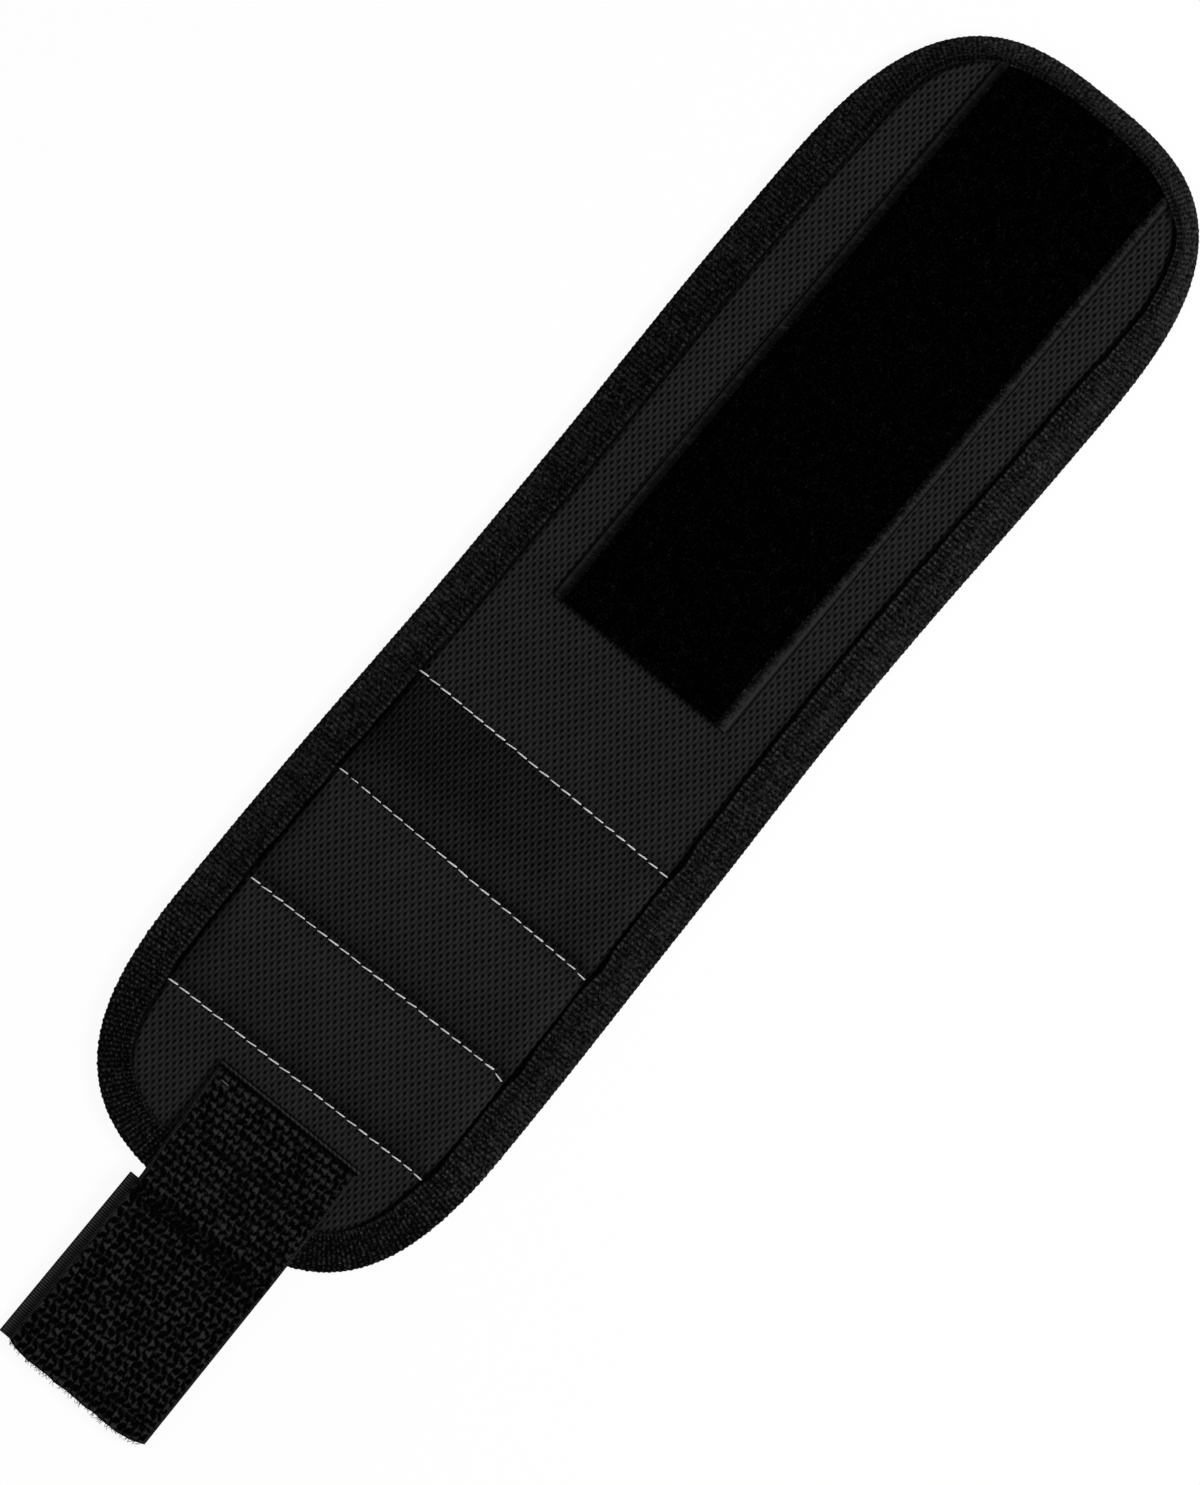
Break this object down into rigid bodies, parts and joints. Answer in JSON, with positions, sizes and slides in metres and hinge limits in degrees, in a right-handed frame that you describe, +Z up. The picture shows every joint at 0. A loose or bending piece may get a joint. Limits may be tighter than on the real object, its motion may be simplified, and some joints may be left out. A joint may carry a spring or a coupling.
{
  "type": "magnetic wristband",
  "caption": "Flat sewn wristband with magnet pockets, bound edges, a strip of loop tape and an elastic tail with hook tape, for holding small steel parts at the wrist.",
  "frame": {"origin": "under the middle of the flat band's box, on the surface that the lining lies on", "axes": "+X along the band from the elastic tail to the loop end, +Y across it, +Z up out of the pockets and the loop tape"},
  "size_m": [0.3692, 0.0936, 0.0065],
  "materials": {
    "shell_cloth": "coarse plain-woven black nylon, matt with a slight sheen",
    "lining_mesh": "black spacer mesh with small round holes",
    "binding_tape": "ribbed black woven tape, matt",
    "loop_pile": "deep black brushed loops, no shine",
    "white_thread": "bright white twisted sewing thread",
    "carrier_foam": "dark closed-cell foam sheet",
    "magnet_nickel": "nickel-plated disc magnets",
    "elastic_knit": "coarse knitted black elastic with ribbed edges",
    "hook_nylon": "black nylon tape with moulded hooks"
  },
  "bodies": {
    "pocket_2": {"mesh_lining_pocket_2": "lining_mesh", "outer_shell_pocket_2": "shell_cloth", "edge_binding_pocket_2_left": "binding_tape", "edge_binding_pocket_2_right": "binding_tape", "magnet_carrier_pocket_2": "carrier_foam", "magnet_pocket_2_1": "magnet_nickel", "magnet_pocket_2_2": "magnet_nickel", "magnet_pocket_2_3": "magnet_nickel", "pocket_stitch_2": "white_thread", "pocket_stitch_3": "white_thread"},
    "pocket_1": {"mesh_lining_pocket_1": "lining_mesh", "outer_shell_pocket_1": "shell_cloth", "edge_binding_pocket_1_left": "binding_tape", "edge_binding_pocket_1_right": "binding_tape", "magnet_carrier_pocket_1": "carrier_foam", "magnet_pocket_1_1": "magnet_nickel", "magnet_pocket_1_2": "magnet_nickel", "magnet_pocket_1_3": "magnet_nickel", "pocket_stitch_1": "white_thread"},
    "tail_end": {"mesh_lining_tail_end": "lining_mesh", "outer_shell_tail_end": "shell_cloth", "edge_binding_tail_end": "binding_tape", "elastic_anchor": "elastic_knit"},
    "strap_root": {"elastic_stretch": "elastic_knit"},
    "hook_tail": {"elastic_tail": "elastic_knit", "hook_tape": "hook_nylon"},
    "pocket_3": {"mesh_lining_pocket_3": "lining_mesh", "outer_shell_pocket_3": "shell_cloth", "edge_binding_pocket_3_left": "binding_tape", "edge_binding_pocket_3_right": "binding_tape", "magnet_carrier_pocket_3": "carrier_foam", "magnet_pocket_3_1": "magnet_nickel", "magnet_pocket_3_2": "magnet_nickel", "magnet_pocket_3_3": "magnet_nickel", "pocket_stitch_4": "white_thread"},
    "loop_1": {"mesh_lining_loop_1": "lining_mesh", "outer_shell_loop_1": "shell_cloth", "edge_binding_loop_1_left": "binding_tape", "edge_binding_loop_1_right": "binding_tape"},
    "loop_2": {"mesh_lining_loop_2": "lining_mesh", "outer_shell_loop_2": "shell_cloth", "edge_binding_loop_2_left": "binding_tape", "edge_binding_loop_2_right": "binding_tape", "loop_tape_loop_2": "loop_pile"},
    "loop_3": {"mesh_lining_loop_3": "lining_mesh", "outer_shell_loop_3": "shell_cloth", "edge_binding_loop_3_left": "binding_tape", "edge_binding_loop_3_right": "binding_tape", "loop_tape_loop_3": "loop_pile"},
    "loop_4": {"mesh_lining_loop_4": "lining_mesh", "outer_shell_loop_4": "shell_cloth", "edge_binding_loop_4_left": "binding_tape", "edge_binding_loop_4_right": "binding_tape", "loop_tape_loop_4": "loop_pile"},
    "loop_5": {"mesh_lining_loop_5": "lining_mesh", "outer_shell_loop_5": "shell_cloth", "edge_binding_loop_5": "binding_tape", "loop_tape_loop_5": "loop_pile"}
  },
  "joints": [
    {"name": "wrap", "type": "hinge", "parent": "pocket_2", "child": "pocket_3", "pos_m": [-0.04046, 0, 0.001], "axis": [0, 1, 0], "range_deg": [0, 41]},
    {"name": "bend_4", "type": "hinge", "parent": "pocket_3", "child": "loop_1", "pos_m": [-0.01136, 0, 0.001], "axis": [0, 1, 0], "range_deg": [0, 44]},
    {"name": "bend_5", "type": "hinge", "parent": "loop_1", "child": "loop_2", "pos_m": [0.02164, 0, 0.001], "axis": [0, 1, 0], "range_deg": [0, 54]},
    {"name": "bend_6", "type": "hinge", "parent": "loop_2", "child": "loop_3", "pos_m": [0.06239, 0, 0.001], "axis": [0, 1, 0], "range_deg": [0, 63]},
    {"name": "bend_7", "type": "hinge", "parent": "loop_3", "child": "loop_4", "pos_m": [0.10314, 0, 0.001], "axis": [0, 1, 0], "range_deg": [0, 68]},
    {"name": "bend_8", "type": "hinge", "parent": "loop_4", "child": "loop_5", "pos_m": [0.14389, 0, 0.001], "axis": [0, 1, 0], "range_deg": [0, 73]},
    {"name": "bend_2", "type": "hinge", "parent": "pocket_2", "child": "pocket_1", "pos_m": [-0.06956, 0, 0.001], "axis": [0, -1, 0], "range_deg": [0, 40]},
    {"name": "bend_1", "type": "hinge", "parent": "pocket_1", "child": "tail_end", "pos_m": [-0.09866, 0, 0.001], "axis": [0, -1, 0], "range_deg": [0, 44]},
    {"name": "tail_fold", "type": "hinge", "parent": "tail_end", "child": "strap_root", "pos_m": [-0.13626, -0.0062, 0.0048], "axis": [0, -1, 0], "range_deg": [-90, 42]},
    {"name": "strap_stretch", "type": "slide", "parent": "strap_root", "child": "hook_tail", "axis": [-0.9988, 0, -0.0486], "range_m": [0, 0.006], "stiffness_N_per_m": 400, "deforming": ["elastic_stretch"]}
  ],
  "couplings": [
    {"joint": "bend_4", "follows": "wrap", "ratio": 1.0732},
    {"joint": "bend_5", "follows": "wrap", "ratio": 1.3171},
    {"joint": "bend_6", "follows": "wrap", "ratio": 1.5366},
    {"joint": "bend_7", "follows": "wrap", "ratio": 1.6585},
    {"joint": "bend_8", "follows": "wrap", "ratio": 1.7805},
    {"joint": "bend_2", "follows": "wrap", "ratio": 0.9756},
    {"joint": "bend_1", "follows": "wrap", "ratio": 1.0732}
  ]
}
